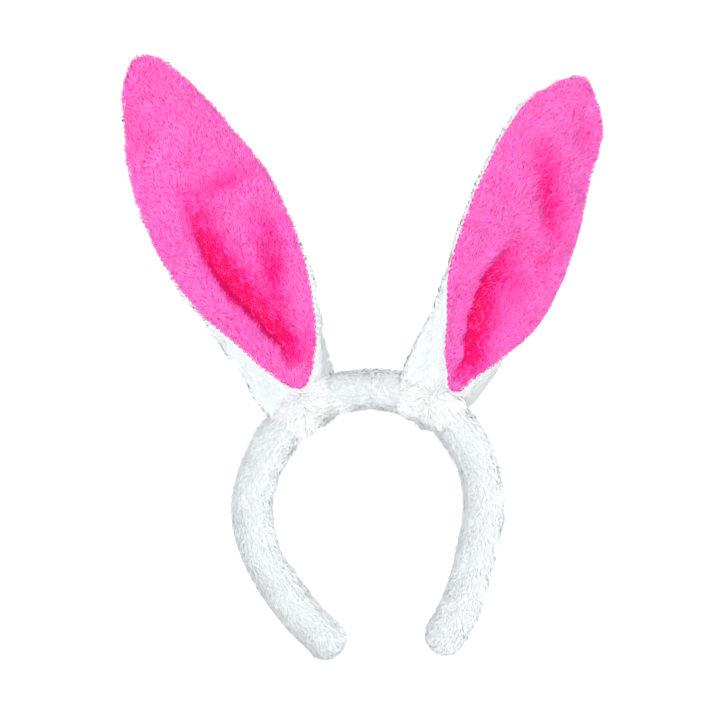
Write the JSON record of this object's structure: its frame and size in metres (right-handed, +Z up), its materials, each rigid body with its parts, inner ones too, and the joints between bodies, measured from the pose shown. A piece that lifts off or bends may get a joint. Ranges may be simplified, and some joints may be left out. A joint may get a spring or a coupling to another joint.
{
  "type": "animal ears headband",
  "caption": "Plush rabbit-ear headband: a springy open band in a white plush sleeve, with tall bendable ears, pink in front and white behind.",
  "frame": {"origin": "centre of the band's inner face at the top of the head opening, where the crown rests on the head", "axes": "+Z up from the head towards the ears, +X to the right seen from the front, front of the ears towards -Y"},
  "size_m": [0.2916, 0.0548, 0.3619],
  "materials": {
    "white_plush": "short-pile plush, soft matt with a faint sheen",
    "pink_plush": "short-pile plush, hot pink, soft matt with a faint sheen",
    "wadding": "loose polyester fibre",
    "white_thread": "polyester sewing thread",
    "pink_thread": "polyester sewing thread",
    "core_plastic": "moulded springy plastic",
    "wire": "bare soft steel wire"
  },
  "bodies": {
    "crown": {"band_core_crown": "core_plastic", "band_wadding_crown": "wadding", "band_sleeve_crown": "white_plush", "sleeve_seam_thread_crown": "white_thread"},
    "left_arm": {"band_core_left_arm": "core_plastic", "band_wadding_left_arm": "wadding", "band_sleeve_left_arm": "white_plush", "sleeve_seam_thread_left_arm": "white_thread", "end_stitches_left": "white_thread"},
    "right_arm": {"band_core_right_arm": "core_plastic", "band_wadding_right_arm": "wadding", "band_sleeve_right_arm": "white_plush", "sleeve_seam_thread_right_arm": "white_thread", "end_stitches_right": "white_thread"},
    "left_ear": {"left_ear_front_lower": "pink_plush", "left_ear_back_lower": "white_plush", "left_ear_filling_lower": "wadding", "left_ear_wire_lower": "wire", "left_ear_edge_thread_lower": "pink_thread", "left_ear_collar": "white_plush", "left_ear_binding_thread": "white_thread"},
    "left_ear_tip": {"left_ear_front_upper": "pink_plush", "left_ear_back_upper": "white_plush", "left_ear_filling_upper": "wadding", "left_ear_wire_upper": "wire", "left_ear_edge_thread_upper": "pink_thread"},
    "right_ear": {"right_ear_front_lower": "pink_plush", "right_ear_back_lower": "white_plush", "right_ear_filling_lower": "wadding", "right_ear_wire_lower": "wire", "right_ear_edge_thread_lower": "pink_thread", "right_ear_collar": "white_plush", "right_ear_binding_thread": "white_thread"},
    "right_ear_tip": {"right_ear_front_upper": "pink_plush", "right_ear_back_upper": "white_plush", "right_ear_filling_upper": "wadding", "right_ear_wire_upper": "wire", "right_ear_edge_thread_upper": "pink_thread"}
  },
  "joints": [
    {"name": "left_arm_flex", "type": "hinge", "parent": "crown", "child": "left_arm", "pos_m": [-0.05858, 0, -0.02198], "axis": [0, 1, 0], "range_deg": [-6, 18], "stiffness_Nm_per_rad": 0.4},
    {"name": "right_arm_flex", "type": "hinge", "parent": "crown", "child": "right_arm", "pos_m": [0.05819, 0, -0.02228], "axis": [0, -1, 0], "range_deg": [-6, 18], "stiffness_Nm_per_rad": 0.4},
    {"name": "left_ear_tilt", "type": "hinge", "parent": "crown", "child": "left_ear", "pos_m": [-0.03856, 0, -0.00124], "axis": [0.8237, 0, 0.5671], "range_deg": [-45, 45]},
    {"name": "left_ear_fold", "type": "hinge", "parent": "left_ear", "child": "left_ear_tip", "pos_m": [-0.08712, 0.00767, 0.10604], "axis": [0.9107, 0.0697, 0.4072], "range_deg": [-35, 35]},
    {"name": "right_ear_tilt", "type": "hinge", "parent": "crown", "child": "right_ear", "pos_m": [0.03304, 0, 0.00219], "axis": [0.874, 0, -0.4859], "range_deg": [-45, 45]},
    {"name": "right_ear_fold", "type": "hinge", "parent": "right_ear", "child": "right_ear_tip", "pos_m": [0.08223, 0.0136, 0.10859], "axis": [0.7438, 0.527, -0.4112], "range_deg": [-35, 35]}
  ]
}
